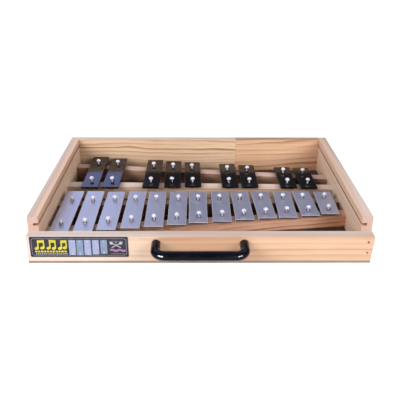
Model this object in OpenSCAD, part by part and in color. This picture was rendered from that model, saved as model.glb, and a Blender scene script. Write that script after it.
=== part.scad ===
// Twenty-two-note bar chime (glockenspiel) in an open pine carrying case.
// Millimetres. +X towards the high notes, +Y away from the player, +Z up.
// Origin: centre of the underside of the case, on the rest plane.

/* [Case] */
// Outside width of the case, left to right
case_w = 430; // [424:1:450]
// Outside depth of the case, front to back, without the handle
case_d = 292; // [291:1:310]
// Height of the side and back panels above the rest plane
case_h = 58.5; // [56:0.5:70]
// Height of the low front panel above the rest plane
front_h = 38.2; // [35:0.1:40]
// Thickness of the pine boards
board_t = 13.5; // [12:0.5:14]
// Thickness of the base sheet
base_t = 3.5; // [2:0.5:4]
// How far the upper right corner of the front panel reaches past the side panel
front_end_over = 1; // [0:0.1:2]
// How far the lower right corner of the front panel and the right end of the base sheet fall short of the side panel's outer face
front_end_short = 1.7; // [0:0.1:3]
// How far down the upper right corner of the front panel is eased
front_end_ease = 3; // [1:0.5:4]

/* [Lid groove] */
// Height of the groove's lower edge above the rest plane
groove_z = 46; // [44:0.1:50]
// Height of the groove
groove_h = 3.4; // [2:0.1:4]
// Depth of the groove into each side panel
groove_depth = 6.2; // [3:0.1:8]

/* [Rails] */
// Height of the top of the rails above the rest plane
rail_top = 23; // [20:0.1:24]
// Width of the rail under the near ends of the natural bars
nat_front_rail_w = 16; // [14:0.5:18]
// Width of the rail under the far ends of the natural bars
nat_back_rail_w = 14; // [12:0.5:18]
// Width of the rail under the near ends of the accidental bars
acc_front_rail_w = 17; // [14:0.5:18]
// Width of the rail under the far ends of the accidental bars
acc_back_rail_w = 15; // [12:0.5:18]

/* [Bars] */
// Width of the bar stock
bar_w = 25; // [22:0.5:26]
// Thickness of the bar stock
bar_t = 3; // [2:0.5:4]
// Length of the lowest bar
bar_l0 = 121; // [115:0.5:122]
// Semitones over which the bar length halves
bar_halving = 26; // [24:0.5:28]
// Centre-to-centre pitch of the natural bars
bar_pitch = 30.1; // [28:0.1:30.5]
// Play left between a bar and the top of its washers
bar_play = 0.05; // [0.02:0.01:0.1]
// Diameter of the two holes in each bar
bar_hole_d = 5.4; // [4.6:0.1:5.8]
// Distance of the far ends of the natural bars from the front of the case
nat_back_end = 144; // [142:0.5:146]
// Distance of the near ends of the accidental bars from the front of the case
acc_front_end = 159.5; // [158:0.5:161]

/* [Set-out by hand] */
// Sideways placing of each natural bar, lowest first
nat_side = [-1.5, -1.5, -1.5, -0.8, -1, -0.7, -2.6, -0.6, -1, -0.9, -0.4, -0.8, -1]; // [-3:0.1:3]
// Turn of each natural bar on its pins in degrees, anticlockwise from above, lowest first
nat_turn = [0, 0.5, -0.1, -0.5, 0, -0.3, 0.1, -0.2, 1.2, 2.2, -1, 1.5, -1.7]; // [-3:0.1:3]
// Lengthways placing of each natural bar, lowest first
nat_along = [1.5, 1.5, -0.5, 1, 0, 0, 0, -1, -1, -1, 0, 0, 0]; // [-2:0.5:2]
// Length left on each natural bar when it was tuned, lowest first
nat_trim = [0, 1, 1, 2, 2.5, 2.5, 2.5, 0, 0, 0, 1, 0, -1]; // [-3:0.5:3]
// Sideways placing of each accidental bar, lowest first
acc_side = [0.8, 2.2, 2.3, 3.7, 4.5, 0.7, 1, -1.7, -1.5]; // [-5:0.1:5]
// Turn of each accidental bar on its pins in degrees, anticlockwise from above, lowest first
acc_turn = [0, -0.8, -0.8, 0.5, 1, 0.8, 0, 1, 1]; // [-3:0.1:3]
// Lengthways placing of each accidental bar, lowest first
acc_along = [-0.5, -0.5, 0, 2, 4, 2.5, 2, 0.5, -1]; // [-4:0.5:4]
// Length left on each accidental bar when it was tuned, lowest first
acc_trim = [-1, -1, 0, -1, -3, -1, -1, -1, 0]; // [-3:0.5:3]

// Sideways placing of each far pin of the natural bars from the bar's middle
nat_back_pin_side = [0, 0, 0.5, -0.7, -1, -0.3, 0.1, -1.4, -1, -1.1, -0.6, -1.2, 1]; // [-2:0.1:2]
// Sideways placing of each near pin of the natural bars from the bar's middle
nat_front_pin_side = [-0.5, 0, 0, -0.2, -0.5, -0.3, 0.6, 0.6, 1, 0.9, -0.1, 0.3, -0.5]; // [-2:0.1:2]
// Sideways placing of each far pin of the accidental bars from the bar's middle
acc_back_pin_side = [-0.3, 0.8, -0.8, -0.7, -1, -0.7, 0.5, -0.3, -0.5]; // [-2:0.1:2]
// Sideways placing of each near pin of the accidental bars from the bar's middle
acc_front_pin_side = [-0.3, 0.3, -1.3, -0.7, 0, -0.7, 0, 0.2, 1]; // [-2:0.1:2]

/* [Bar pins] */
// Diameter of the mushroom head of a pin cap
cap_d = 6.6; // [6:0.1:7.5]
// Height of the caps of the natural bars above the bars
nat_cap_rise = 6.9; // [6:0.1:8]
// Height of the caps of the accidental bars above the bars
acc_cap_rise = 7.5; // [6:0.1:9]
// Height of the dome of a pin cap
cap_dome_h = 3; // [1.5:0.1:3.2]
// Height of the flare between the sleeve and the head
cap_flare_h = 1.4; // [1:0.1:2]
// Outside diameter of the sleeve of a pin cap
sleeve_d = 3.3; // [3.1:0.1:3.8]
// Diameter of the steel pin inside the sleeve
pin_d = 2.3; // [1.8:0.1:2.4]
// Depth of the steel pin in the rail
pin_depth = 13; // [8:1:16]
// Diameter of the felt washers under the bars
washer_d = 9.2; // [8:0.1:11]

/* [Handle] */
// Distance between the centres of the two legs
handle_centres = 109; // [96:1:128]
// Diameter of the handle's rod
handle_d = 11.5; // [9:0.5:12]
// Distance of the grip's centre in front of the panel
handle_reach = 28.5; // [25:0.5:35]
// Height of the handle's centre above the rest plane
handle_z = 28.7; // [25:0.1:29]
// Bend radius of the rod's centre-line
handle_bend = 12; // [10:0.5:15]
// Sideways offset of the handle from the middle of the case
handle_x = -0.5; // [-5:0.5:5]

/* [Label] */
// Width of the label plate
label_w = 121.5; // [80:0.5:130]
// Height of the label plate
label_h = 28.5; // [20:0.5:28.5]
// Thickness of the label plate
label_t = 0.5; // [0.4:0.1:1]

/* [Hidden] */
$fn = 48;

fit = 0.05;                     // running and seating clearance, per side
cut = 1;                        // how far a cutting shape runs past a face
inner_w = case_w - 2 * board_t; // clear width between the side panels
bar_bottom = 26;                // underside of the bars at rest
bar_top = bar_bottom + bar_t;

// Everything is set out from the front face of the case
module from_front() { translate([0, -case_d / 2, 0]) children(); }

// A box given by its two corners
module block(low, high) { translate(low) cube(high - low); }

// A cylinder along +Y, starting at the given point
module rod_y(x, y, z, dia, length) {
    translate([x, y, z]) rotate([-90, 0, 0]) cylinder(d = dia, h = length);
}

// Rows of bars and pins -------------------------------------------------

// A rail or a pin row is a straight line: [distance from the front at x = 0, slope]
nat_front_rail_line = [66.4, 0.1173];
nat_back_rail_line = [122.9, 0.0265];
acc_front_rail_line = [176.5, -0.0245];
acc_back_rail_line = [230.2, -0.114];
nat_front_pin_line = [70.2, 0.1163];
nat_back_pin_line = [121.3, 0.029];
acc_front_pin_line = [178.6, -0.0167];
acc_back_pin_line = [229.6, -0.111];

function on_line(line, x) = line[0] + line[1] * x;

// Semitones above the lowest note of each bar
nat_step = [0, 2, 4, 5, 7, 9, 11, 12, 14, 16, 17, 19, 21];
acc_step = [1, 3, 6, 8, 10, 13, 15, 18, 20];
// Place of each bar in pitches from the lowest natural bar; accidentals stand behind the gaps
nat_slot = [for (i = [0 : len(nat_step) - 1]) i];
acc_slot = [0.5, 1.5, 3.5, 4.5, 5.5, 7.5, 8.5, 10.5, 11.5];
middle_slot = (len(nat_step) - 1) / 2;

function bar_len(step, trim) = bar_l0 * pow(2, -step / bar_halving) + trim;

// Middles of the bars of a row, left to right
function bar_xs(slots, bar_side) = [for (i = [0 : len(slots) - 1])
    (slots[i] - middle_slot) * bar_pitch + bar_side[i]];

// Pins of a row: [x, distance from the front]
function pins_of(xs, pin_side, line) = [for (i = [0 : len(xs) - 1])
    let (x = xs[i] + pin_side[i]) [x, on_line(line, x)]];

nat_xs = bar_xs(nat_slot, nat_side);
acc_xs = bar_xs(acc_slot, acc_side);
nat_front_pins = pins_of(nat_xs, nat_front_pin_side, nat_front_pin_line);
nat_back_pins = pins_of(nat_xs, nat_back_pin_side, nat_back_pin_line);
acc_front_pins = pins_of(acc_xs, acc_front_pin_side, acc_front_pin_line);
acc_back_pins = pins_of(acc_xs, acc_back_pin_side, acc_back_pin_line);
nat_pins = concat(nat_front_pins, nat_back_pins);
acc_pins = concat(acc_front_pins, acc_back_pins);

// Nails -----------------------------------------------------------------

nail_d = 1.6;
nail_head_d = 3;
nail_head_t = 1.2;
board_nail_l = 18;          // through the base sheet into a board
rail_nail_l = 9;            // through the base sheet into a rail
corner_nail_l = 32;         // through one board into the end of the next
front_nail_z = [14.7, 30];
back_nail_z = [16, 44];
front_nail_in = 6.7;        // front corner nails from the outside of the case

// Base nails: [x, distance from the front]
board_nails = [
    for (x = [-165, -60, 60, 165]) for (y = [board_t / 2, case_d - board_t / 2]) [x, y],
    for (side = [-1, 1]) for (y = [60, 150, 240]) [side * (case_w - board_t) / 2, y]
];
rail_lines = [
    nat_front_rail_line, nat_back_rail_line, acc_front_rail_line, acc_back_rail_line
];
rail_nails = [for (x = [-106, 15, 105]) for (line = rail_lines) [x, on_line(line, x)]];

// A round wire nail, head first, pointing along +Z; grow widens it into its own hole
module nail(length, grow) {
    cylinder(d = nail_d + 2 * grow, h = length + grow);
    cylinder(d = nail_head_d + 2 * grow, h = nail_head_t + grow);
}

module all_base_nails(grow = 0) {
    for (place = board_nails) translate([place[0], place[1], 0]) nail(board_nail_l, grow);
    for (place = rail_nails) translate([place[0], place[1], 0]) nail(rail_nail_l, grow);
}

// Driven backwards through the front panel into the side panels
module front_nails(grow = 0) {
    for (side = [-1, 1]) for (z = front_nail_z)
        translate([side * (case_w / 2 - front_nail_in), 0, z])
            rotate([-90, 0, 0]) nail(corner_nail_l, grow);
}

// Driven inwards through the side panels into the back panel
module back_nails(grow = 0) {
    for (side = [-1, 1]) for (z = back_nail_z)
        translate([side * case_w / 2, case_d - board_t / 2, z])
            rotate([0, -side * 90, 0]) nail(corner_nail_l, grow);
}

module panel_nails() { color("gray") from_front() { front_nails(); back_nails(); } }
module base_nails() { color("gray") from_front() all_base_nails(); }

// Handle, its screws and the label --------------------------------------

screw_d = 4;
screw_reach = 12.5;         // screw length in front of the panel
screw_head_d = 7.6;
screw_head_t = 2.4;
panel_screw_hole_d = screw_d + 0.2;
handle_screw_hole_d = screw_d + 0.1;
handle_screw_hole_depth = 13;
label_inset = 4;            // from the left end of the case
label_z = 9.5;              // lower edge above the rest plane

function handle_leg_x(side) = handle_x + side * handle_centres / 2;

module carry_handle() {
    leg_x = handle_centres / 2;
    leg_l = handle_reach - handle_bend;
    bend_x = leg_x - handle_bend;
    color([0.05, 0.05, 0.05]) from_front() translate([handle_x, 0, handle_z]) difference() {
        union() {
            for (side = [-1, 1]) {
                rod_y(side * leg_x, -leg_l, 0, handle_d, leg_l);
                translate([side * bend_x, -leg_l, 0])
                    rotate([0, 0, side > 0 ? -90 : 180])
                        rotate_extrude(angle = 90)
                            translate([handle_bend, 0]) circle(d = handle_d);
            }
            translate([-bend_x, -handle_reach, 0])
                rotate([0, 90, 0]) cylinder(d = handle_d, h = 2 * bend_x);
        }
        for (side = [-1, 1])
            rod_y(side * leg_x, -handle_screw_hole_depth, 0,
                  handle_screw_hole_d, handle_screw_hole_depth + cut);
    }
}

// Two pan-head screws from the inside of the front panel
module handle_screws() {
    color("silver") from_front() for (side = [-1, 1]) {
        rod_y(handle_leg_x(side), -screw_reach, handle_z, screw_d, board_t + screw_reach);
        rod_y(handle_leg_x(side), board_t, handle_z, screw_head_d, screw_head_t);
    }
}

module label_plate() {
    left = -case_w / 2 + label_inset;
    color([0.16, 0.17, 0.19]) from_front()
        block([left, -label_t, label_z], [left + label_w, 0, label_z + label_h]);
}

// Case ------------------------------------------------------------------

front_end_ease_in = 0.6;    // how far in the eased corner comes at the top

// The right end is sawn out of square, leaning outwards
module front_panel() {
    left = -case_w / 2;
    low_right = case_w / 2 - front_end_short;
    high_right = case_w / 2 + front_end_over;
    color("burlywood") from_front() difference() {
        translate([0, board_t, 0]) rotate([90, 0, 0]) linear_extrude(board_t) polygon([
            [left, base_t],
            [low_right, base_t],
            [high_right, front_h - front_end_ease],
            [high_right - front_end_ease_in, front_h],
            [left, front_h]
        ]);
        front_nails(fit);
        all_base_nails(fit);
        for (side = [-1, 1])
            rod_y(handle_leg_x(side), -cut, handle_z, panel_screw_hole_d, board_t + 2 * cut);
    }
}

module back_panel() {
    half_w = inner_w / 2 - fit;
    color("burlywood") from_front() difference() {
        block([-half_w, case_d - board_t, base_t], [half_w, case_d, case_h]);
        back_nails(fit);
        all_base_nails(fit);
    }
}

// side is -1 for the left panel, 1 for the right
module side_panel(side) {
    inner_x = inner_w / 2;
    groove_x = inner_x + groove_depth;
    color("wheat") from_front() difference() {
        block([side > 0 ? inner_x : -case_w / 2, board_t, base_t],
              [side > 0 ? case_w / 2 : -inner_x, case_d, case_h]);
        block([side > 0 ? inner_x - cut : -groove_x, board_t - cut, groove_z],
              [side > 0 ? groove_x : -inner_x + cut, case_d + cut, groove_z + groove_h]);
        front_nails(fit);
        back_nails(fit);
        all_base_nails(fit);
    }
}

module left_side_panel() { side_panel(-1); }
module right_side_panel() { side_panel(1); }

module base_sheet() {
    color("rosybrown") from_front() difference() {
        block([-case_w / 2, 0, 0], [case_w / 2 - front_end_short, case_d, base_t]);
        all_base_nails(fit);
    }
}

// Rails -----------------------------------------------------------------

pin_hole_over = 0.5;        // pin hole past the pin's foot and the rail's top

// A straight strip cut to the slant of its row and to the side walls
module rail(line, width, pins) {
    end_x = inner_w / 2 - fit;
    half_y = width / 2 / cos(atan(line[1]));
    color("tan") from_front() difference() {
        translate([0, 0, base_t]) linear_extrude(height = rail_top - base_t) polygon([
            [-end_x, on_line(line, -end_x) - half_y],
            [end_x, on_line(line, end_x) - half_y],
            [end_x, on_line(line, end_x) + half_y],
            [-end_x, on_line(line, -end_x) + half_y]
        ]);
        for (pin = pins)
            translate([pin[0], pin[1], rail_top - pin_depth - pin_hole_over])
                cylinder(d = pin_d + 2 * fit, h = pin_depth + 2 * pin_hole_over);
        all_base_nails(fit);
    }
}

module natural_front_rail() { rail(nat_front_rail_line, nat_front_rail_w, nat_front_pins); }
module natural_back_rail() { rail(nat_back_rail_line, nat_back_rail_w, nat_back_pins); }
module accidental_front_rail() { rail(acc_front_rail_line, acc_front_rail_w, acc_front_pins); }
module accidental_back_rail() { rail(acc_back_rail_line, acc_back_rail_w, acc_back_pins); }

// Bars ------------------------------------------------------------------

// A flat bar turned about its middle, with a clearance hole round each of its two pins
module bar(x, front_y, length, pins, turn) {
    half_l = length / 2;
    from_front() difference() {
        translate([x, front_y + half_l, 0]) rotate([0, 0, turn])
            block([-bar_w / 2, -half_l, bar_bottom], [bar_w / 2, half_l, bar_top]);
        for (pin = pins)
            translate([pin[0], pin[1], bar_bottom - cut])
                cylinder(d = bar_hole_d, h = bar_t + 2 * cut);
    }
}

// The natural bars line up by their far ends
module natural_bar(i) {
    length = bar_len(nat_step[i], nat_trim[i]);
    front_y = nat_back_end + nat_along[i] - length;
    color([0.74, 0.78, 0.84])
        bar(nat_xs[i], front_y, length, [nat_front_pins[i], nat_back_pins[i]], nat_turn[i]);
}

// The accidental bars line up by their near ends
module accidental_bar(i) {
    length = bar_len(acc_step[i], acc_trim[i]);
    front_y = acc_front_end + acc_along[i];
    color([0.06, 0.06, 0.07])
        bar(acc_xs[i], front_y, length, [acc_front_pins[i], acc_back_pins[i]], acc_turn[i]);
}

// Washers, pins and caps ------------------------------------------------

washer_t = bar_bottom - bar_play - rail_top;
washer_hole_d = sleeve_d + 0.3;
pin_in_head = 0.6;          // how far the pin reaches above the head's rim

module at_pins(pins) { from_front() for (pin = pins) translate([pin[0], pin[1], 0]) children(); }

module washer() {
    translate([0, 0, rail_top]) difference() {
        cylinder(d = washer_d, h = washer_t);
        translate([0, 0, -cut]) cylinder(d = washer_hole_d, h = washer_t + 2 * cut);
    }
}

// Height of the rim of a cap's head, where its dome starts
function rim_z(rise) = bar_top + rise - cap_dome_h;

// Steel pin: driven into the rail, its upper end inside the cap
module bar_pin(rise) {
    translate([0, 0, rail_top - pin_depth])
        cylinder(d = pin_d, h = pin_depth + rim_z(rise) + pin_in_head - rail_top);
}

// Mushroom cap: a sleeve through the bar, a flared neck and a domed head
module pin_cap(rise) {
    cap_r = cap_d / 2;
    rim = rim_z(rise);
    ball_r = (cap_r * cap_r + cap_dome_h * cap_dome_h) / (2 * cap_dome_h);
    difference() {
        union() {
            translate([0, 0, rail_top + fit]) cylinder(d = sleeve_d, h = rim - rail_top - fit);
            translate([0, 0, rim - cap_flare_h])
                cylinder(r1 = sleeve_d / 2, r2 = cap_r, h = cap_flare_h);
            intersection() {
                translate([0, 0, rim + cap_dome_h - ball_r]) sphere(r = ball_r);
                translate([0, 0, rim]) cylinder(r = cap_r + cut, h = cap_dome_h + cut);
            }
        }
        translate([0, 0, rail_top - cut])
            cylinder(d = pin_d + 2 * fit, h = rim + pin_in_head + fit - rail_top + cut);
    }
}

module natural_felt_washers() { color("dimgray") at_pins(nat_pins) washer(); }
module accidental_felt_washers() { color("dimgray") at_pins(acc_pins) washer(); }
module natural_bar_pins() { color("silver") at_pins(nat_pins) bar_pin(nat_cap_rise); }
module accidental_bar_pins() { color("silver") at_pins(acc_pins) bar_pin(acc_cap_rise); }
module natural_pin_caps() { color("white") at_pins(nat_pins) pin_cap(nat_cap_rise); }
module accidental_pin_caps() { color("white") at_pins(acc_pins) pin_cap(acc_cap_rise); }

// Nodes -----------------------------------------------------------------

front_panel();
back_panel();
left_side_panel();
right_side_panel();
base_sheet();
natural_front_rail();
natural_back_rail();
accidental_front_rail();
accidental_back_rail();
natural_bar(0);  // natural_bar_1
natural_bar(1);  // natural_bar_2
natural_bar(2);  // natural_bar_3
natural_bar(3);  // natural_bar_4
natural_bar(4);  // natural_bar_5
natural_bar(5);  // natural_bar_6
natural_bar(6);  // natural_bar_7
natural_bar(7);  // natural_bar_8
natural_bar(8);  // natural_bar_9
natural_bar(9);  // natural_bar_10
natural_bar(10);  // natural_bar_11
natural_bar(11);  // natural_bar_12
natural_bar(12);  // natural_bar_13
accidental_bar(0);  // accidental_bar_1
accidental_bar(1);  // accidental_bar_2
accidental_bar(2);  // accidental_bar_3
accidental_bar(3);  // accidental_bar_4
accidental_bar(4);  // accidental_bar_5
accidental_bar(5);  // accidental_bar_6
accidental_bar(6);  // accidental_bar_7
accidental_bar(7);  // accidental_bar_8
accidental_bar(8);  // accidental_bar_9
natural_felt_washers();
accidental_felt_washers();
natural_bar_pins();
accidental_bar_pins();
natural_pin_caps();
accidental_pin_caps();
carry_handle();
handle_screws();
label_plate();
panel_nails();
base_nails();
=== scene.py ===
# A chromatic set of metal bars in an open pine case: a row of 13 satin silver bars and a row
# of 9 black ones, each bar held by capped pins over felt washers. The case lies flat with +Z up;
# its front, with the carrying handle and the label, faces -Y, and X runs from left to right.
# Lengths are metres; the material textures work in millimetres.
import math
import random

import bmesh
import bpy
from mathutils import Matrix, Vector, noise


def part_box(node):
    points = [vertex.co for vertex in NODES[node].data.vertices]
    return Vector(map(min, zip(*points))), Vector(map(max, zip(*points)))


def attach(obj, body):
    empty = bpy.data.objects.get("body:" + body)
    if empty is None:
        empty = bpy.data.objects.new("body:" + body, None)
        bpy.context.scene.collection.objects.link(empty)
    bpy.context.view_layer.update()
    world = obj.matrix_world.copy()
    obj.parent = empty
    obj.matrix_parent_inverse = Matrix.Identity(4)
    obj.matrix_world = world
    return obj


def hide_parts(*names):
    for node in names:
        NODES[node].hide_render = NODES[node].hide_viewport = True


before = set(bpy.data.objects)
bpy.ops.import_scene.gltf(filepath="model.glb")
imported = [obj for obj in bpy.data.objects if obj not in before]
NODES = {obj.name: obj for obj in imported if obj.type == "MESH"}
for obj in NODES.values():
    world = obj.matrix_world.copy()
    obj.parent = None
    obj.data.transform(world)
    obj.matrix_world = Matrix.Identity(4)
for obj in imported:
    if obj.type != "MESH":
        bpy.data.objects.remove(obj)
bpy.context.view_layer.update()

SCENE = bpy.context.scene
MM = 0.001
ROWS = ("natural", "accidental")
UP = Vector((0, 0, 1))
rnd = random.Random(22)

# ------------------------------------------------------------ node graphs


class Graph:
    """Short ways to build a node tree. A value may be a number, a tuple or another socket."""

    def __init__(self, tree):
        self.tree = tree
        tree.nodes.clear()

    def new(self, kind, inputs=None, **settings):
        """A node with its settings and inputs; an input given as None keeps its default."""
        node = self.tree.nodes.new("ShaderNode" + kind)
        for key, value in settings.items():
            setattr(node, key, value)
        for key, value in (inputs or {}).items():
            if value is not None:
                self.put(node.inputs[key], value)
        return node

    def put(self, socket, value):
        if isinstance(value, bpy.types.NodeSocket):
            self.tree.links.new(value, socket)
        else:
            if isinstance(value, tuple) and len(value) == 3 and socket.type == "RGBA":
                value = (*value, 1.0)
            socket.default_value = value

    # numbers
    def math(self, op, a, b=0.0, c=0.0, clamp=False):
        return self.new("Math", {0: a, 1: b, 2: c}, operation=op, use_clamp=clamp).outputs[0]

    def plus(self, a, b, clamp=False):
        return self.math("ADD", a, b, clamp=clamp)

    def minus(self, a, b):
        return self.math("SUBTRACT", a, b)

    def times(self, a, b):
        return self.math("MULTIPLY", a, b)

    def abs(self, a):
        return self.math("ABSOLUTE", a)

    def remap(self, value, span, to=(0.0, 1.0), smooth=False):
        """Carries the range span onto the range to, held at both ends."""
        return self.new("MapRange", {"Value": value, "From Min": span[0], "From Max": span[1],
                                     "To Min": to[0], "To Max": to[1]},
                        interpolation_type="SMOOTHSTEP" if smooth else "LINEAR").outputs[0]

    # vectors
    def vmath(self, op, a, b=(0, 0, 0)):
        return self.new("VectorMath", {0: a, 1: b}, operation=op).outputs[0]

    def stretch(self, vector, factors):
        return self.vmath("MULTIPLY", vector, factors)

    def scale(self, vector, factor):
        return self.new("VectorMath", {0: vector, "Scale": factor}, operation="SCALE").outputs[0]

    def length(self, vector):
        node = self.new("VectorMath", {0: vector, 1: (0, 0, 0)}, operation="LENGTH")
        return node.outputs["Value"]

    def split(self, vector):
        return self.new("SeparateXYZ", {0: vector}).outputs

    def coords(self, offset=(0, 0, 0), scale=1000):
        """Object coordinates, in millimetres unless another scale is given."""
        place = self.new("TexCoord").outputs["Object"]
        return self.new("Mapping", {"Scale": (scale,) * 3, "Location": offset,
                                    "Vector": place}).outputs[0]

    def normal(self):
        return self.split(self.new("NewGeometry").outputs["Normal"])

    # textures and colours
    def noise(self, vector, scale=1.0, detail=3.0, rough=0.5, distortion=0.0, color=False):
        node = self.new("TexNoise", {"Vector": vector, "Scale": scale, "Detail": detail,
                                     "Roughness": rough, "Distortion": distortion})
        return node.outputs["Color" if color else "Fac"]

    def ramp(self, factor, stops):
        """Colour by factor; stops are (position, colour)."""
        node = self.new("ValToRGB", {"Fac": factor})
        elements = node.color_ramp.elements
        while len(elements) < len(stops):
            elements.new(0.5)
        for element, (position, color) in zip(elements, stops):
            element.position = position
            element.color = (*color, 1)
        return node.outputs["Color"]

    def mix(self, factor, a, b, blend="MIX"):
        return self.new("Mix", {"Factor": factor, 6: a, 7: b},
                        data_type="RGBA", blend_type=blend).outputs[2]

    def tint(self, color, by):
        return self.mix(1.0, color, by, "MULTIPLY")

    def occlusion(self, distance):
        return self.new("AmbientOcclusion", {"Distance": distance}, samples=6).outputs["AO"]

    def bump(self, height, strength, distance):
        return self.new("Bump", {"Strength": strength, "Distance": distance,
                                 "Height": height}).outputs[0]


class Material(Graph):
    """A new material: one principled surface whose inputs are set by name."""

    def __init__(self, name):
        self.mat = bpy.data.materials.new(name)
        self.mat.use_nodes = True
        super().__init__(self.mat.node_tree)
        out = self.new("OutputMaterial")
        self.bsdf = self.new("BsdfPrincipled")
        self.put(out.inputs["Surface"], self.bsdf.outputs["BSDF"])

    def surface(self, **inputs):
        for key, value in inputs.items():
            self.put(self.bsdf.inputs[key.replace("_", " ")], value)
        return self.mat


# ------------------------------------------------------------------- pine

# Places on the case that its textures follow, in mm from the middle
GROOVE_X = (201.6, 202.2, 207.9, 208.4)    # inner edge fading in, outer edge fading out
GROOVE_Z = 47.7                            # mid height of the lid groove
INSIDE = (202.0, 133.0)                    # half width and half depth of the hollow
TONE_SPAN = (0.1, 0.7)                     # tones over which the top and lip colours go from pale to dark
END_GRAIN = (0.60, 0.41, 0.34)


class Pine(Material):
    """Sealed pine as a solid texture whose fibres run along one axis."""

    def __init__(self, name, grain, seed):
        super().__init__(name)
        self.along_x = grain == "x"
        self.seed = seed
        self.seeded = self.coords((seed * 37.0, seed * 11.0, seed * 23.0))
        self.place = self.coords()

    def x(self):
        return self.split(self.place)[0]

    def field(self, along, across, detail=3.0, rough=0.55, color=False):
        """Noise with features of the given lengths, in mm, along and across the fibres."""
        sizes = (along, across, across) if self.along_x else (across, along, across)
        return self.noise(self.stretch(self.seeded, tuple(1 / size for size in sizes)),
                          detail=detail, rough=rough, color=color)

    def grow(self, pith, ring_width, warp, contrast, seam):
        """Counts growth rings out from the pith; late is the dark wood that ends each year."""
        wander = self.vmath("SUBTRACT", self.field(240, 52, rough=0.5, color=True),
                            (0.5, 0.5, 0.5))
        at = self.vmath("ADD", self.place, self.scale(wander, warp))
        if seam is not None:
            # two lengths glued end to end: the second is from another tree, its rings run
            # on a slope (mm per mm), lifted (mm) from those of the first
            slope, lift = -0.075, 7.0
            self.side = self.remap(self.x(), (seam - 0.15, seam + 0.15))
            tilt = self.times(self.times(self.minus(self.x(), seam), slope), self.side)
            height = self.plus(tilt, self.times(self.side, lift))
            at = self.vmath("ADD", at, self.new("CombineXYZ", {2: height}).outputs[0])
        at = self.vmath("SUBTRACT", at, pith)
        flat = self.stretch(at, (0.0, 1, 1) if self.along_x else (1, 0.0, 1))
        radius = self.length(flat)
        uneven = self.noise(self.stretch(flat, (1 / 34, 1 / 34, 1 / 34)), detail=2.0)
        ring = self.plus(self.math("DIVIDE", radius, ring_width), self.times(uneven, 2.2))
        if seam is not None:
            ring = self.times(ring, self.remap(self.side, (0, 1), to=(1.0, 0.62)))
        ring = self.plus(ring, self.times(self.field(60, 9, rough=0.6), 0.30))
        part = self.math("FRACT", ring)
        late = self.times(self.math("POWER", part, 2.2),
                          self.remap(part, (0.90, 1.0), to=(1.0, 0.0), smooth=True))
        year = self.new("TexWhiteNoise", {"W": self.plus(self.math("FLOOR", ring), self.seed)},
                        noise_dimensions="1D").outputs["Value"]
        faintest = 0.35 if seam is None else 0.12
        strength = self.remap(year, (0, 1), to=(faintest, 1.0))
        self.late = self.times(self.times(late, strength), contrast)

    def face(self, light, mid, dark, streak, fine):
        """Colour of the planed faces: rings, streaks, fibres, slow blotches and pores."""
        self.fibre = self.field(22, 0.42, rough=0.65)
        band = self.field(230, 4.2, detail=4.0, rough=0.6)
        blotch = self.noise(self.stretch(self.seeded, (1 / 90, 1 / 90, 1 / 50)), detail=2.0)
        tone = self.plus(self.times(self.late, 0.80), self.times(self.minus(band, 0.5), streak))
        tone = self.plus(tone, self.times(self.minus(self.fibre, 0.5), fine))
        self.tone = self.plus(tone, 0.26, clamp=True)
        color = self.ramp(self.tone, [(0.0, light), (0.42, mid), (1.0, dark)])
        color = self.mix(self.remap(blotch, (0.36, 0.64)),
                         self.tint(color, (1.0, 0.985, 0.90)),
                         self.tint(color, (1.0, 0.93, 0.85)))
        pores = self.field(34, 0.55, detail=1.0, rough=0.4)
        return self.mix(self.remap(pores, (0.66, 0.80), to=(0.0, 0.28)), color, dark)

    def paint_left_light(self, color, span):
        # painted light: the board goes paler towards its left end, where the light falls strongest
        lit_color = self.mix(0.72, color, (0.775, 0.70, 0.62))
        return self.mix(self.remap(self.x(), span, smooth=True), color, lit_color)

    def paint_handle_shade(self, color, rise, fall):
        # painted shade from the handle: the front is darkened and warmed between and round the
        # handle's legs
        x = self.x()
        handle_shade = self.times(self.remap(x, rise, smooth=True),
                          self.remap(x, fall, to=(1, 0), smooth=True))
        return self.mix(handle_shade, color, self.tint(color, (0.84, 0.76, 0.70)))

    def glued_seam(self, color, seam, dark):
        color = self.mix(self.side, color, self.tint(color, (0.97, 0.86, 0.79)))
        distance = self.abs(self.minus(self.x(), seam))
        return self.mix(self.remap(distance, (0.0, 0.6), to=(0.45, 0.0)), color, dark)

    def foot_strip(self, color, height, start):
        """A near-black strip along the foot, from x = start to the right, with a wavy rim."""
        place = self.split(self.place)
        ripple = self.times(self.minus(self.field(26, 30, detail=2.0, rough=0.5), 0.5), 2.2)
        rim = self.plus(height, ripple)
        below = self.remap(self.minus(place[2], rim), (-0.5, 0.7), to=(0.92, 0.0), smooth=True)
        strip = self.times(below, self.remap(place[0], (start, start + 22), smooth=True))
        right_end = self.remap(place[0], (150, 190), to=(0.0, 0.75), smooth=True)
        color = self.mix(right_end, color, self.tint(color, (0.72, 0.58, 0.48)))
        return self.mix(strip, color, (0.085, 0.036, 0.022))

    def lip_wood(self, lip, shade):
        """The lip colour, darkened by tone as far as shade."""
        return self.mix(self.remap(self.tone, TONE_SPAN), lip, self.tint(lip, shade))

    def top_edge(self, color, normal, amount, grey, grey_far, seam, lip):
        """The upward faces take a greyer colour than the other faces."""
        up = self.remap(normal[2], (0.55, 0.95), to=(0.0, amount))
        if grey_far is not None:
            depth = self.remap(self.split(self.place)[1], (-120, 130))
            grey = self.mix(depth, grey, grey_far)
        top_grey = self.mix(self.remap(self.tone, TONE_SPAN, to=(0.0, 0.45)), grey,
                        self.tint(grey, (0.76, 0.70, 0.66)))
        if seam is not None:
            top_grey = self.mix(self.side, top_grey, self.tint(top_grey, (0.62, 0.51, 0.47)))
        color = self.mix(up, color, top_grey)
        if lip is not None:
            near = self.remap(self.abs(self.x()), (205.0, 211.0), to=(0.55, 0.0), smooth=True)
            warm = self.times(self.times(near, up), 1.3)
            color = self.mix(warm, color, self.lip_wood(lip, (0.78, 0.66, 0.56)))
        return color

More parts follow.
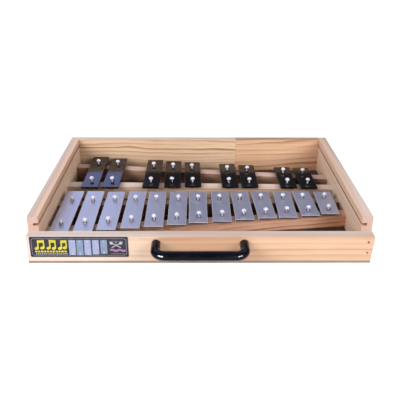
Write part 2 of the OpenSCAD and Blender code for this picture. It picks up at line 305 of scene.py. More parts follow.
    def end_grain(self, color, normal):
        """End grain drinks more sealer."""
        speck = self.noise(self.scale(self.seeded, 1.4), detail=2.0, rough=0.7)
        soaked = self.mix(self.remap(self.plus(self.late, self.times(speck, 0.6)), (0.2, 1.1)),
                          END_GRAIN, tuple(v * 0.86 for v in END_GRAIN))
        ends = self.remap(self.abs(normal[0 if self.along_x else 1]), (0.6, 0.95))
        return self.mix(ends, color, soaked)

    def lid_groove(self, color, normal, off_x, z, lip):
        """Painted shade: the groove's faces are painted dark orange-brown. Painted light: the band
        of the inner face above the groove takes the paler lip colour.
        """
        inner, outer = GROOVE_X[:2], GROOVE_X[2:]
        groove_shade = self.times(self.remap(off_x, inner), self.remap(off_x, outer, to=(1, 0)))
        groove_shade = self.times(groove_shade, self.remap(self.abs(self.minus(z, GROOVE_Z)), (1.5, 2.2),
                                           to=(1, 0)))
        color = self.mix(groove_shade, color, (0.42, 0.20, 0.105))
        # painted light on the band of the inner face above the groove
        band = self.times(self.remap(z, (49.3, 49.9), to=(0.0, 0.75)),
                          self.remap(self.abs(normal[0]), (0.6, 0.9)))
        band = self.times(band, self.remap(off_x, (205, 206), to=(1, 0)))
        return self.mix(band, color, self.lip_wood(lip, (0.72, 0.60, 0.50)))

    def paint_nook_shade(self, color, off_x, y, amount, reach):
        """Painted shade: darkens the nooks inside the case where the occlusion test finds them
        hemmed in.
        """
        off_y = self.abs(y)
        open_ = self.occlusion(reach)
        outside = self.math("MAXIMUM", self.minus(off_x, INSIDE[0]), self.minus(off_y, INSIDE[1]))
        inside = self.remap(outside, (0, 0.6), to=(1, 0))
        shade = self.remap(open_, (0.12, 0.72), to=(1.0, 0.0))
        painted_shade = self.times(self.times(shade, inside), amount)
        return self.mix(painted_shade, color, self.tint(color, (0.26, 0.17, 0.13)))


def wood(name, grain, light, mid, dark, pith, ring_width, seed, streak, warp=16.0, contrast=1.0,
         fine=0.22, rough=0.46, pale=None, handle_shade=None, seam=None, strip=None, greying=0.75,
         grey=(0.52, 0.445, 0.41), grey_far=None, lip=None, nook_shade=0.0, reach=0.055):
    """A pine board. Lengths are in mm, but reach is in metres.
    grain        axis of the fibres
    pith         the tree's centre; warp is how far the rings wander from true circles
    streak, fine strength of the broad streaks and of the fibres
    pale         (start, end) in x over which painted light pales the board towards its left end
    handle_shade ((start, end), (start, end)) in x where painted shade from the handle fades in and
    out
    seam         x of a glued joint between two lengths
    strip        (height, start in x) of a dark strip along the foot
    greying      how far the top edges go to grey at the front and grey_far at the back
    lip          paler colour for the band above the lid groove, painted light there, and for the inner rim of the top, for boards that have one
    nook_shade   how far painted shade darkens the nooks inside the case, felt over the distance reach"""
    n = Pine(name, grain, seed)
    n.grow(pith, ring_width, warp, contrast, seam)
    color = n.face(light, mid, dark, streak, fine)
    if pale is not None:
        color = n.paint_left_light(color, pale)
    if handle_shade is not None:
        color = n.paint_handle_shade(color, *handle_shade)
    if seam is not None:
        color = n.glued_seam(color, seam, dark)
    if strip is not None:
        color = n.foot_strip(color, *strip)
    normal = n.normal()
    color = n.top_edge(color, normal, greying, grey, grey_far, seam, lip)
    color = n.end_grain(color, normal)
    if lip is not None or nook_shade:
        place = n.split(n.place)
        off_x = n.abs(place[0])
        if lip is not None:
            color = n.lid_groove(color, normal, off_x, place[2], lip)
        # painted shade in the nooks inside the case
        if nook_shade:
            color = n.paint_nook_shade(color, off_x, place[1], nook_shade, reach)
    height = n.plus(n.times(n.fibre, 0.5), n.times(n.late, -0.8))
    return n.surface(
        Base_Color=color, Normal=n.bump(height, strength=0.22, distance=0.0004),
        Roughness=n.remap(n.plus(n.fibre, n.late), (0.3, 1.5), to=(rough + 0.07, rough - 0.06)),
        Specular_IOR_Level=0.40)


PINE = {
    "front_panel": wood(
        "pine_front_board", "x",
        light=(0.765, 0.565, 0.43), mid=(0.69, 0.465, 0.335), dark=(0.45, 0.24, 0.135),
        pith=(0, -60, -230), ring_width=8.6, seed=1.0, warp=8.0, contrast=0.85, streak=0.85,
        pale=(-20, -150), handle_shade=((-66, -44), (44, 74)), grey=(0.535, 0.455, 0.42)),
    "back_panel": wood(
        "pine_back_board", "x",
        light=(0.84, 0.65, 0.515), mid=(0.73, 0.53, 0.40), dark=(0.44, 0.225, 0.105),
        pith=(0, 40, -150), ring_width=5.4, seed=3.0, warp=23.0, contrast=1.7, streak=1.1,
        seam=61.5, fine=0.3, grey=(0.59, 0.495, 0.41), nook_shade=0.8, reach=0.06),
    "left_side_panel": wood(
        "pine_left_board", "y",
        light=(0.83, 0.63, 0.51), mid=(0.745, 0.545, 0.425), dark=(0.46, 0.28, 0.18),
        pith=(-90, 0, -120), ring_width=4.6, seed=5.0, warp=9.0, contrast=1.1, streak=0.85,
        fine=0.3, grey=(0.465, 0.385, 0.355), grey_far=(0.54, 0.45, 0.425),
        lip=(0.84, 0.56, 0.40), nook_shade=0.2),
    "right_side_panel": wood(
        "pine_right_board", "y",
        light=(0.79, 0.63, 0.54), mid=(0.70, 0.535, 0.445), dark=(0.46, 0.285, 0.19),
        pith=(110, 0, -130), ring_width=5.2, seed=7.5, warp=9.0, streak=0.8,
        fine=0.3, grey=(0.62, 0.52, 0.475), grey_far=(0.50, 0.375, 0.31),
        lip=(0.76, 0.53, 0.40), nook_shade=0.3),
    "natural_front_rail": wood(
        "pine_rail_a", "x",
        light=(0.85, 0.545, 0.425), mid=(0.75, 0.44, 0.325), dark=(0.42, 0.19, 0.11),
        pith=(0, -40, -70), ring_width=5.6, seed=9.0, warp=7.0, contrast=1.2, streak=0.95,
        rough=0.55, greying=0.3, grey=(0.58, 0.40, 0.33), strip=(6.2, 60), nook_shade=0.4),
    "natural_back_rail": wood(
        "pine_rail_b", "x",
        light=(0.62, 0.43, 0.34), mid=(0.54, 0.36, 0.27), dark=(0.34, 0.20, 0.13),
        pith=(0, -24, -90), ring_width=4.2, seed=11.0, streak=0.7, rough=0.55, nook_shade=0.9),
    "accidental_front_rail": wood(
        "pine_rail_c", "x",
        light=(0.74, 0.58, 0.495), mid=(0.66, 0.495, 0.41), dark=(0.44, 0.28, 0.20),
        pith=(0, 50, -90), ring_width=5.0, seed=13.0, streak=0.75,
        rough=0.55, greying=0.6, grey=(0.63, 0.525, 0.47), nook_shade=0.65),
    "accidental_back_rail": wood(
        "pine_rail_d", "x",
        light=(0.66, 0.46, 0.375), mid=(0.58, 0.385, 0.30), dark=(0.36, 0.20, 0.13),
        pith=(0, 110, -70), ring_width=4.4, seed=15.0, streak=0.75,
        rough=0.55, greying=0.6, grey=(0.58, 0.43, 0.38), nook_shade=1.0, reach=0.07),
}

# -------------------------------------------------------- other materials


def hardboard():
    """Thin brown pressed board: matted fibres; its flat faces are brown darkened by painted shade
    for the dim floor inside the case, its cut edges paler.
    """
    n = Material("hardboard_sheet")
    place = n.coords()
    fibres = n.noise(place, scale=0.9, detail=5.0, rough=0.7, distortion=0.6)
    patches = n.noise(place, scale=0.03)
    mat = n.plus(n.times(fibres, 0.7), n.times(patches, 0.3))
    # painted shade: the flat faces are darker than the board, for the shaded floor of the case
    color = n.ramp(mat, [(0.3, (0.030, 0.017, 0.012)), (0.5, (0.050, 0.029, 0.020)),
                         (0.7, (0.085, 0.052, 0.037))])
    level = n.abs(n.normal()[2])
    cut = n.ramp(mat, [(0.3, (0.22, 0.17, 0.15)), (0.5, (0.31, 0.25, 0.225)),
                       (0.7, (0.40, 0.335, 0.305))])
    color = n.mix(n.remap(level, (0.3, 0.8), to=(1.0, 0.0)), color, cut)
    return n.surface(Base_Color=color, Roughness=0.75,
                     Normal=n.bump(fibres, strength=0.35, distance=0.0003))


def bar_metal(name, seed, edge=False):
    """Satin aluminium: lengthwise drawing lines, smudges, specks. edge gives the arris a pale,
    nearly matt colour, a painted highlight.
    """
    n = Material(name)
    place = n.coords((seed * 13.0, seed * 7.0, 0))
    lines = n.noise(n.stretch(place, (7.0, 0.06, 7.0)), rough=0.7)
    broad = n.noise(n.stretch(place, (0.5, 0.02, 0.5)), rough=0.6)
    smudge = n.noise(n.scale(place, 0.045), rough=0.6)
    tone = n.plus(n.times(lines, 0.35), n.plus(n.times(broad, 0.35), n.times(smudge, 0.30)))
    # painted highlight: a pale matt arris stands for light caught along the bar's edges
    if edge:
        color = n.ramp(tone, [(0.30, (0.56, 0.48, 0.51)), (0.52, (0.64, 0.56, 0.59)),
                              (0.74, (0.72, 0.64, 0.67))])
        return n.surface(Base_Color=color, Metallic=0.2,
                         Roughness=n.remap(lines, (0.3, 0.7), to=(0.50, 0.62)))
    speck = n.noise(n.scale(place, 1.1), detail=2.0, rough=0.6)
    color = n.ramp(tone, [(0.30, (0.53, 0.53, 0.635)), (0.52, (0.585, 0.58, 0.69)),
                          (0.74, (0.65, 0.64, 0.75))])
    # faint pink and blue bloom of the anodic film
    bloom = n.noise(n.scale(place, 0.11), rough=0.6)
    color = n.mix(n.remap(bloom, (0.38, 0.62)), n.tint(color, (0.955, 1.0, 1.03)),
                  n.tint(color, (1.045, 0.985, 0.985)))
    # painted shade: the holes and a ring round each cap go dark, dull and less metallic where the
    # occlusion test finds them hemmed in
    hole_shade = n.remap(n.occlusion(0.0035), (0.36, 0.88), to=(1.0, 0.0))
    color = n.mix(hole_shade, color, (0.018, 0.017, 0.022))
    rough = n.plus(n.remap(lines, (0.3, 0.7), to=(0.33, 0.39)),
                   n.remap(smudge, (0.35, 0.65), to=(-0.03, 0.04)))
    rough = n.plus(rough, n.remap(speck, (0.60, 0.72), to=(0.0, 0.10)))
    return n.surface(
        Base_Color=color, Metallic=n.minus(1.0, n.times(hole_shade, 0.8)),
        Roughness=n.plus(rough, n.times(hole_shade, 0.5)),
        Normal=n.bump(lines, strength=0.06, distance=0.0001), Anisotropic=0.4,
        Tangent=n.new("Tangent", direction_type="RADIAL", axis="X").outputs[0])


def black_gloss(name, seed, edge=False):
    """Gloss black enamel: slight orange peel, dust and hairline rubs; paler on the arrises."""
    n = Material(name)
    place = n.coords((seed * 9.0, seed * 4.0, 0))
    peel = n.noise(n.scale(place, 0.35), detail=2.0)
    dust = n.noise(n.scale(place, 1.7), detail=2.0, rough=0.6)
    rub = n.noise(n.stretch(place, (1.6, 0.09, 1.0)), rough=0.6)
    base = (0.016, 0.013, 0.013) if edge else (0.0050, 0.0040, 0.0040)
    color = n.mix(n.remap(dust, (0.62, 0.78), to=(0.0, 0.25)), base, (0.055, 0.048, 0.048))
    return n.surface(Base_Color=color, Roughness=n.remap(rub, (0.35, 0.7), to=(0.08, 0.16)),
                     Normal=n.bump(peel, strength=0.05, distance=0.0003),
                     IOR=1.36, Specular_Tint=(0.94, 0.93, 1.12))


def plastic(name, base, alt, rough, mottle, grain=0.05, coat=0.0, specular=0.5, shade_left_of=None):
    """Moulded or printed plastic: mottling between two colours at the scale mottle, a soft
    grain and uneven gloss; left of x = shade_left_of, in mm, a painted shadow darkens it."""
    n = Material(name)
    place = n.coords()
    patches = n.noise(n.scale(place, mottle), rough=0.55)
    grains = n.noise(n.scale(place, 3.2), detail=2.0, rough=0.6)
    color = n.mix(n.remap(patches, (0.35, 0.65)), base, alt)
    if shade_left_of is not None:
        # painted shadow of the case's left side over the caps at that end
        left = n.remap(n.split(place)[0], (shade_left_of, shade_left_of + 12), to=(0.85, 0.0))
        color = n.mix(left, color, n.tint(color, (0.74, 0.75, 0.70)))
    return n.surface(
        Base_Color=color,
        Roughness=n.remap(patches, (0.3, 0.7), to=(rough - 0.05, rough + 0.07)),
        Normal=n.bump(grains, strength=grain, distance=0.0002),
        Specular_IOR_Level=specular, Coat_Weight=coat, Coat_Roughness=0.08)


def steel(name, base, rough, rust=0.0, seed=0.0):
    """Drawn or plated steel with fine turning marks and a little tarnish."""
    n = Material(name)
    place = n.coords((seed, seed, seed))
    marks = n.noise(n.scale(place, 2.2), detail=4.0, rough=0.6)
    color = n.mix(n.remap(marks, (0.35, 0.65)), base, tuple(v * 0.75 for v in base))
    if rust:
        stains = n.noise(n.scale(place, 0.5), detail=2.0)
        color = n.mix(n.remap(stains, (0.40, 0.62), to=(0.0, rust)), color, (0.30, 0.13, 0.07))
    return n.surface(Base_Color=color, Metallic=1.0 - 0.5 * rust,
                     Roughness=n.remap(marks, (0.3, 0.7), to=(rough - 0.06, rough + 0.1)),
                     Normal=n.bump(marks, strength=0.15, distance=0.0001))


def felt():
    """Dark pressed felt: matted crossing fibres and lint."""
    n = Material("felt_grey")
    place = n.coords()
    fibres = [n.noise(n.stretch(place, run), detail=4.0, rough=0.75, distortion=1.2)
              for run in ((2.2, 7.0, 5.0), (7.0, 2.2, 5.0))]
    lint = n.math("MAXIMUM", *fibres)
    color = n.ramp(lint, [(0.4, (0.022, 0.020, 0.019)), (0.6, (0.06, 0.055, 0.05)),
                          (0.8, (0.16, 0.15, 0.14))])
    return n.surface(Base_Color=color, Roughness=0.95,
                     Normal=n.bump(lint, strength=0.8, distance=0.0006),
                     Sheen_Weight=0.5, Sheen_Roughness=0.5)


HARDBOARD = hardboard()
SILVER = [bar_metal("bar_satin_%d" % k, 3.0 + 5.7 * k) for k in range(4)]
SILVER_LIT_EDGE = bar_metal("bar_edge_painted_highlight", 1.0, edge=True)
BLACK = [black_gloss("bar_black_%d" % k, 2.0 + 3.3 * k) for k in range(3)]
BLACK_EDGE = black_gloss("bar_black_edge", 1.0, edge=True)
CAP = plastic("cap_white_plastic", (0.57, 0.565, 0.65), (0.65, 0.645, 0.725),
              rough=0.26, mottle=0.8, coat=0.2, shade_left_of=-178)
HANDLE = plastic("handle_black_gloss", (0.0016, 0.0014, 0.0044), (0.0030, 0.0026, 0.0075),
                 rough=0.12, mottle=0.06, grain=0.03, specular=0.17)
FILM = plastic("label_charcoal_film", (0.026, 0.025, 0.038), (0.042, 0.041, 0.058),
               rough=0.40, mottle=0.12, grain=0.08, specular=0.3)
# the label's printing inks: base colour, mottled colour, roughness, mottle scale
INK = {key: plastic("label_print_" + key, base, alt, rough, mottle, specular=0.3)
       for key, base, alt, rough, mottle in (
           ("pale", (0.27, 0.26, 0.32), (0.33, 0.32, 0.385), 0.45, 0.5),
           ("grey", (0.12, 0.15, 0.13), (0.18, 0.21, 0.19), 0.45, 0.5),
           ("yellow", (0.60, 0.51, 0.03), (0.70, 0.61, 0.065), 0.42, 0.5),
           ("white", (0.44, 0.43, 0.50), (0.54, 0.53, 0.60), 0.42, 0.5),
           ("pink", (0.36, 0.14, 0.33), (0.44, 0.20, 0.41), 0.42, 0.5),
           ("blue", (0.315, 0.345, 0.53), (0.365, 0.395, 0.57), 0.42, 0.25),
           ("slate", (0.20, 0.26, 0.385), (0.25, 0.31, 0.44), 0.42, 0.25))}
PIN_STEEL = steel("pin_drawn_steel", (0.62, 0.61, 0.60), rough=0.32)
SCREW_STEEL = steel("screw_zinc_steel", (0.66, 0.67, 0.70), rough=0.30, seed=4.0)
NAIL_STEEL = steel("nail_dull_steel", (0.40, 0.21, 0.13), rough=0.6, rust=0.8, seed=8.0)
FELT = felt()

# ------------------------------------------------------------ mesh helpers


def link_mesh(name, bm):
    """A new object in the scene from a bmesh."""
    mesh = bpy.data.meshes.new(name)
    bm.to_mesh(mesh)
    bm.free()
    obj = bpy.data.objects.new(name, mesh)
    SCENE.collection.objects.link(obj)
    return obj


def add_mesh(name, bm, material, smooth=30, replaces=None):
    """A finished piece of the case: normals outwards, smooth up to the angle in degrees."""
    bmesh.ops.recalc_face_normals(bm, faces=bm.faces)
    limit = math.radians(smooth)
    for edge in bm.edges:
        edge.smooth = len(edge.link_faces) == 2 and edge.calc_face_angle(0) < limit
    for face in bm.faces:
        face.smooth = True
    obj = link_mesh(name, bm)
    obj.data.materials.append(material)
    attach(obj, "case")
    if replaces:
        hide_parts(replaces)


def dress(node, material, bevel=0.0, segments=2, edge=None):
    """Material and rounded arrises for a CAD node; its own mesh is left as it is."""
    obj = NODES[node]
    obj.data.materials.clear()
    obj.data.materials.append(material)
    if edge is not None:
        obj.data.materials.append(edge)
    if bevel:
        weld = obj.modifiers.new("weld", "WELD")
        weld.merge_threshold = 2e-6
        rounding = obj.modifiers.new("round", "BEVEL")
        rounding.width = bevel
        rounding.segments = segments
        rounding.limit_method = "ANGLE"
        rounding.angle_limit = math.radians(40)
        rounding.harden_normals = True
        rounding.use_clamp_overlap = True
        rounding.loop_slide = False
        if edge is not None:
            rounding.material = 1


def islands(node):
    """The separate solids of a CAD node, each as (lowest corner, highest corner)."""
    mesh = NODES[node].data
    first_at = {}
    root = list(range(len(mesh.vertices)))

    def find(i):
        while root[i] != i:
            root[i] = root[root[i]]
            i = root[i]
        return i

    for vert in mesh.vertices:
        key = tuple(round(c * 1e6) for c in vert.co)
        if key in first_at:
            root[find(vert.index)] = find(first_at[key])
        else:
            first_at[key] = vert.index
    for polygon in mesh.polygons:
        start = find(polygon.vertices[0])
        for i in polygon.vertices[1:]:
            root[find(i)] = start
    solids = {}
    for vert in mesh.vertices:
        solids.setdefault(find(vert.index), []).append(vert.co)
    boxes = [(Vector([min(p[k] for p in points) for k in range(3)]),
              Vector([max(p[k] for p in points) for k in range(3)]))
             for points in solids.values()]
    return sorted(boxes, key=lambda b: (round(b[0].y, 3), round(b[0].x, 4), round(b[0].z, 4)))


def bridge(bm, ring, following):
    """Quads between two closed rings of equal count."""
    for i in range(len(ring)):
        j = (i + 1) % len(ring)
        bm.faces.new((ring[i], ring[j], following[j], following[i]))


def lathe(bm, profile, place, segments, dent=None):
    """Turns (radius, height) pairs round Z and puts the result at place. The profile starts
    and ends on the axis; dent(angle, radius) may alter a radius."""
    rings = []
    for radius, height in profile:
        if radius <= 1e-9:
            rings.append([bm.verts.new(place @ Vector((0, 0, height)))])
            continue
        ring = []
        for i in range(segments):
            a = math.tau * i / segments
            r = dent(a, radius) if dent else radius
            ring.append(bm.verts.new(place @ Vector((r * math.cos(a), r * math.sin(a), height))))
        rings.append(ring)
    for ring, following in zip(rings, rings[1:]):
        if len(ring) > 1 and len(following) > 1:
            bridge(bm, ring, following)
            continue
        for i in range(segments):
            j = (i + 1) % segments
            if len(ring) == 1:
                bm.faces.new((ring[0], following[i], following[j]))
            else:
                bm.faces.new((ring[i], ring[j], following[0]))


# ---------------------------------------------------------- case and bars

# node, material, arris radius, segments of the rounding
CASE_PARTS = (
    ("front_panel", PINE["front_panel"], 0.0013, 4),
    ("back_panel", PINE["back_panel"], 0.0007, 3),
    ("left_side_panel", PINE["left_side_panel"], 0.0006, 3),
    ("right_side_panel", PINE["right_side_panel"], 0.0006, 3),
    ("base_sheet", HARDBOARD, 0.0003, 2),
    ("natural_front_rail", PINE["natural_front_rail"], 0.0006, 2),
    ("natural_back_rail", PINE["natural_back_rail"], 0.0006, 2),
    ("accidental_front_rail", PINE["accidental_front_rail"], 0.0006, 2),
    ("accidental_back_rail", PINE["accidental_back_rail"], 0.0006, 2),
)
for part in CASE_PARTS:
    dress(*part)
for k in range(13):
    dress("natural_bar_%d" % (k + 1), SILVER[(k * 3) % 4], 0.00050, 3, edge=SILVER_LIT_EDGE)
for k in range(9):
    dress("accidental_bar_%d" % (k + 1), BLACK[(k * 2) % 3], 0.00045, 3, edge=BLACK_EDGE)
for row in ROWS:
    dress(row + "_bar_pins", PIN_STEEL)

# ---------------------------------------------------------- felt washers

FELT_BORE = 0.00182                        # radius of the hole
FELT_SEGMENTS = 36


def felt_washer(bm, lo, hi):
    """A soft-edged washer whose rim is ragged."""
    centre = (lo + hi) / 2
    outer = (hi.x - lo.x) / 2
    thick = hi.z - lo.z
    phase = rnd.random() * 9
    # (radius, height) round the section, from the foot of the bore outwards and back
    profile = [(FELT_BORE, 0.00004), (outer * 0.55, 0.0), (outer * 0.90, 0.00006),
               (outer * 0.98, thick * 0.2), (outer, thick * 0.42), (outer * 0.985, thick * 0.66),
               (outer * 0.93, thick * 0.84), (outer * 0.80, thick * 0.95),
               (outer * 0.55, thick * 0.985), (FELT_BORE + 0.0003, thick * 0.97),
               (FELT_BORE, thick * 0.9)]
    rings = []
    for radius, height in profile:
        ragged = min(1.0, max(0.0, (radius / outer - 0.5) * 2))
        ring = []
        for i in range(FELT_SEGMENTS):
            a = math.tau * i / FELT_SEGMENTS
            ca, sa = math.cos(a), math.sin(a)
            broad = noise.noise(Vector((ca * 2.3 + phase, sa * 2.3, height * 900)))
            hairs = noise.noise(Vector((ca * 9 + phase, sa * 9, height * 2500)))
            r = radius * (1 + ragged * (0.022 * broad + 0.016 * hairs))
            z = min(max(height + ragged * 0.00012 * hairs, 0.0), thick)
            ring.append(bm.verts.new((centre.x + r * ca, centre.y + r * sa, lo.z + z)))
        rings.append(ring)
    for ring, following in zip(rings, rings[1:] + rings[:1]):
        bridge(bm, ring, following)


for row in ROWS:
    bm = bmesh.new()
    for lo, hi in islands(row + "_felt_washers"):
        felt_washer(bm, lo, hi)
    add_mesh(row + "_felt_pads", bm, FELT, smooth=70, replaces=row + "_felt_washers")

# -------------------------------------------------------------- pin caps

CAP_STEM = 0.00135                         # stem radius
CAP_HEAD = 0.003                           # height of the head above its rim
CAP_FLARE = 0.0016                         # height of the flare below the rim
CAP_LIP = 0.00028                          # upright part of the rim
CAP_TILT = 2.6                             # most a cap leans, in degrees


def pin_cap(bm, lo, hi):
    """A mushroom cap on a stem, leaning a little and pushed in more or less far."""
    centre = (lo + hi) / 2
    head = (hi.x - lo.x) / 2
    top = hi.z - lo.z
    tilt = Matrix.Rotation(math.radians(rnd.uniform(-CAP_TILT, CAP_TILT)), 4, "X")
    tilt = tilt @ Matrix.Rotation(math.radians(rnd.uniform(-CAP_TILT, CAP_TILT)), 4, "Y")
    lift = rnd.uniform(-0.00022, 0.00012)
    rim = top - CAP_HEAD + lift
    profile = [(0.0, 0.0), (CAP_STEM * 0.92, 0.0), (CAP_STEM, 0.0002), (CAP_STEM, rim - CAP_FLARE)]
    for s in (0.12, 0.3, 0.5, 0.7, 0.88):  # neck hollowed like a trumpet
        profile.append((CAP_STEM + (head - CAP_STEM) * s ** 1.7, rim - CAP_FLARE + CAP_FLARE * s))
    profile += [(head * 0.985, rim - 0.00002), (head, rim + CAP_LIP)]
    for k in range(1, 9):                  # dome
        a = k / 9 * math.pi / 2
        profile.append((head * math.cos(a) ** 0.9,
                        rim + CAP_LIP + (CAP_HEAD - CAP_LIP) * math.sin(a) ** 1.06))
    profile.append((0.0, top + lift))
    lathe(bm, profile, Matrix.Translation((centre.x, centre.y, lo.z)) @ tilt, segments=30)


for row in ROWS:
    bm = bmesh.new()
    for lo, hi in islands(row + "_pin_caps"):
        pin_cap(bm, lo, hi)
    add_mesh(row + "_mushroom_caps", bm, CAP, smooth=50, replaces=row + "_pin_caps")

# ---------------------------------------------------------------- handle

HANDLE_BEND = 0.012                        # bend radius of the centre line
HANDLE_SEGMENTS = 48
PARTING_LINE = 0.00005                     # how proud the mould's parting line stands
FOOT_SCALE = 0.955                         # radius of the softened feet, as part of the rod's
FOOT_DEPTH = 0.0004                        # length over which a foot is softened


def handle_path(x_left, x_right, y_grip, y_panel, z):
    """(point, direction) down the rod: out of the panel, along the grip and back."""
    bend = HANDLE_BEND
    y_bend = y_grip + bend                 # where the legs meet the bends
    quarter = [math.pi / 2 * k / 16 for k in range(17)]
    path = []
    for k in range(7):
        path.append(((x_left, y_panel + (y_bend - y_panel) * k / 6, z), (0, -1, 0)))
    for a in quarter[1:]:
        path.append(((x_left + bend - bend * math.cos(a), y_bend - bend * math.sin(a), z),
                     (math.sin(a), -math.cos(a), 0)))
    for k in range(1, 24):
        path.append(((x_left + bend + (x_right - x_left - 2 * bend) * k / 24, y_grip, z),
                     (1, 0, 0)))
    for a in quarter:
        path.append(((x_right - bend + bend * math.sin(a), y_bend - bend * math.cos(a), z),
                     (math.cos(a), math.sin(a), 0)))
    for k in range(1, 7):
        path.append(((x_right, y_bend + (y_panel - y_bend) * k / 6, z), (0, 1, 0)))
    return [(Vector(point), Vector(direction)) for point, direction in path]


def rod_ring(bm, point, direction, radius, seam=PARTING_LINE):
    """A ring of vertices round the rod, with the parting line round its middle."""
    side = direction.cross(UP)
    ring = []
    for i in range(HANDLE_SEGMENTS):
        a = math.tau * i / HANDLE_SEGMENTS
        proud = seam * math.exp(-(math.sin(a) / 0.09) ** 2)
        out = side * math.cos(a) + UP * math.sin(a)
        ring.append(bm.verts.new(point + out * (radius + proud)))
    return ring


def carry_handle():
    lo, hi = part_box("carry_handle")
    rod = (hi.z - lo.z) / 2
    path = handle_path(lo.x + rod, hi.x - rod, lo.y + rod, hi.y, (lo.z + hi.z) / 2)
    bm = bmesh.new()
    rings = []
    for j, (point, direction) in enumerate(path):
        foot = j in (0, len(path) - 1)
        rings.append(rod_ring(bm, point, direction, rod * FOOT_SCALE if foot else rod))
    (start, start_way), (end, end_way) = path[0], path[-1]
    rings.insert(1, rod_ring(bm, start + start_way * FOOT_DEPTH, start_way, rod, seam=0.0))
    rings.insert(-1, rod_ring(bm, end - end_way * FOOT_DEPTH, end_way, rod, seam=0.0))
    for ring, following in zip(rings, rings[1:]):
        bridge(bm, ring, following)
    bm.faces.new(rings[0][::-1])
    bm.faces.new(rings[-1])
    add_mesh("carry_handle_moulding", bm, HANDLE, smooth=60,
             replaces="carry_handle")


carry_handle()

# ------------------------------------------- handle screws, inside the case

SCREW_HEAD = 0.0024                        # height of the pan head
THREAD_PITCH = 0.0008
# one turn of the rolled thread: (radius, height)
THREAD = ((0.00168, 0.00005), (0.00198, 0.0004), (0.00168, 0.00075))
# the pan head from its underside to the top: (radius, height)
PAN_HEAD = [(0.0020, -0.00005), (0.0037, 0.0), (0.0038, 0.0003), (0.00376, 0.0009),
            (0.0034, 0.0016), (0.0026, 0.00215), (0.00145, 0.00238), (0.0, SCREW_HEAD)]
RECESS_LONG, RECESS_SHORT, RECESS_DEEP = 0.0040, 0.0009, 0.0028    # one bar of the cross
RECESS_TURN = 31                           # degrees


def screw_body(bm, lo, hi):
    """Threaded shank and pan head, the head towards +Y."""
    seat = hi.y - SCREW_HEAD
    spin = Matrix.Rotation(math.radians(rnd.uniform(0, 90)), 4, "Z")
    place = Matrix.Translation(((lo.x + hi.x) / 2, seat, (lo.z + hi.z) / 2))
    place = place @ Matrix.Rotation(math.radians(-90), 4, "X") @ spin
    profile = [(0.0, lo.y - seat)]
    for turn in range(int((seat - lo.y) / THREAD_PITCH)):
        foot = lo.y - seat + turn * THREAD_PITCH
        profile += [(radius, foot + height) for radius, height in THREAD]
    lathe(bm, profile + PAN_HEAD, place, segments=32)


def cross_recess(bm, lo, hi):
    """Two crossed blocks to cut from the head."""
    place = Matrix.Translation(((lo.x + hi.x) / 2, hi.y - 0.0001, (lo.z + hi.z) / 2))
    place = place @ Matrix.Rotation(math.radians(RECESS_TURN), 4, "Y")
    for wide, tall in ((RECESS_SHORT, RECESS_LONG), (RECESS_LONG, RECESS_SHORT)):
        block = place @ Matrix.Diagonal((wide, RECESS_DEEP, tall, 1))
        bmesh.ops.create_cube(bm, size=1.0, matrix=block)


def handle_screws():
    solids, blocks = bmesh.new(), bmesh.new()
    for lo, hi in islands("handle_screws"):
        screw_body(solids, lo, hi)
        cross_recess(blocks, lo, hi)
    bmesh.ops.recalc_face_normals(solids, faces=solids.faces)
    body = link_mesh("tmp_screws", solids)
    cutter = link_mesh("tmp_cut", blocks)
    recess = body.modifiers.new("recess", "BOOLEAN")
    recess.operation = "DIFFERENCE"
    recess.object = cutter
    recess.solver = "EXACT"
    recess.use_self = True
    bpy.context.view_layer.update()
    depsgraph = bpy.context.evaluated_depsgraph_get()
    cut = bpy.data.meshes.new_from_object(body.evaluated_get(depsgraph))
    bm = bmesh.new()
    bm.from_mesh(cut)
    for obj in (body, cutter):
        bpy.data.objects.remove(obj, do_unlink=True)
    bmesh.ops.remove_doubles(bm, verts=bm.verts, dist=1e-7)
    add_mesh("handle_pan_screws", bm, SCREW_STEEL, smooth=35,
             replaces="handle_screws")


handle_screws()

# ----------------------------------------------------------------- nails

NAIL_HEAD_SCALE = 0.66                     # head radius, as part of the CAD nail's
NAIL_SHANK = 0.0007                        # shank radius


def nail(bm, lo, hi):
    """A nail along its longest axis, its dented head facing out of the case."""
    size = hi - lo
    axis = max(range(3), key=lambda k: size[k])
    centre = (lo + hi) / 2
    face = centre.copy()
    if axis == 2:                          # head down
        turn = Matrix.Rotation(math.pi, 4, "X")
        face.z = lo.z
    elif axis == 1:                        # head to the front
        turn = Matrix.Rotation(math.radians(90), 4, "X")
        face.y = lo.y
    else:                                  # head to the nearer side
        way = 1 if centre.x > 0 else -1
        turn = Matrix.Rotation(math.radians(90 * way), 4, "Y")
        face.x = hi.x if way > 0 else lo.x
    head = min(size) / 2 * NAIL_HEAD_SCALE
    long = size[axis]
    phase = rnd.random() * 7

    def dent(a, r):
        uneven = noise.noise(Vector((math.cos(a) * 1.6 + phase, math.sin(a) * 1.6, phase)))
        return r * (1 - (0.05 + 0.05 * uneven)) if r > head * 0.7 else r

    # (radius, height) from the point to the middle of the sunken face
    profile = [(0.0, -long), (0.0004, -long + 0.001), (NAIL_SHANK, -long + 0.0025),
               (NAIL_SHANK, -0.0012), (head * 0.75, -0.0009), (head, -0.0006),
               (head, -0.00018), (head * 0.93, -0.00003), (head * 0.75, -0.00010),
               (head * 0.4, -0.00022), (0.0, -0.00025)]
    lathe(bm, profile, Matrix.Translation(face) @ turn, segments=20, dent=dent)


for node, name in (("panel_nails", "panel_nail_heads"), ("base_nails", "base_nail_heads")):
    bm = bmesh.new()
    for lo, hi in islands(node):
        nail(bm, lo, hi)
    add_mesh(name, bm, NAIL_STEEL, smooth=45, replaces=node)

# ----------------------------------------------------------------- label

